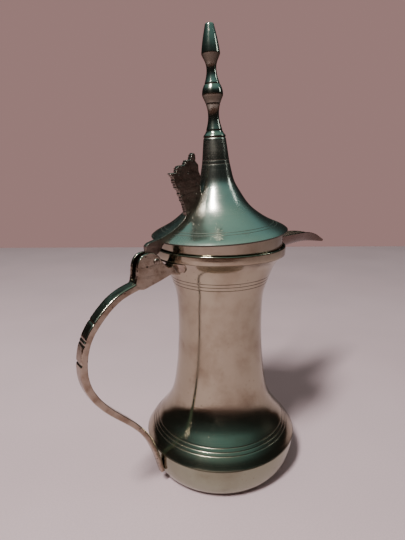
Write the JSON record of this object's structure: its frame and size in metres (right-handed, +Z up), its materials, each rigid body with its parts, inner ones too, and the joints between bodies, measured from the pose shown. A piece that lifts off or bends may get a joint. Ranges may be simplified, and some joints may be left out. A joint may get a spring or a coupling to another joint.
{
  "type": "dallah coffee pot",
  "caption": "Waisted metal coffee pot with a long open beak, a cast strap handle and a hinged trumpet lid with a thumb lever and turned finial.",
  "frame": {"origin": "on the resting surface, under the middle of the base pan", "axes": "+Z up, +X towards the beak, -X towards the handle, +Y across the hinge"},
  "size_m": [0.2134, 0.1024, 0.2771],
  "materials": {
    "polished_nickel": "nickel-plated brass, spun and polished, lightly tarnished",
    "cast_nickel": "cast, filed and polished by hand, darker in its hollows",
    "lever_bronze": "cast, dark tarnish on a worn plating",
    "pin_steel": "dull iron pin, peened at both ends"
  },
  "bodies": {
    "pot": {"body_shell": "polished_nickel", "base_pan": "polished_nickel", "rim_band": "polished_nickel", "spout_beak": "cast_nickel", "handle": "cast_nickel", "hinge_pin": "pin_steel"},
    "lid": {"lid_shell": "polished_nickel", "lid_skirt": "polished_nickel", "thumb_lever": "lever_bronze", "finial_collar": "polished_nickel", "finial_neck": "polished_nickel", "finial_ball": "polished_nickel", "finial_tip": "polished_nickel", "finial_stud": "pin_steel", "finial_washer": "pin_steel", "finial_nut": "pin_steel"}
  },
  "joints": [
    {"name": "lid_hinge", "type": "hinge", "parent": "pot", "child": "lid", "pos_m": [-0.0508, 0, 0.1482], "axis": [0, -1, 0], "range_deg": [-3.4, 95]}
  ]
}
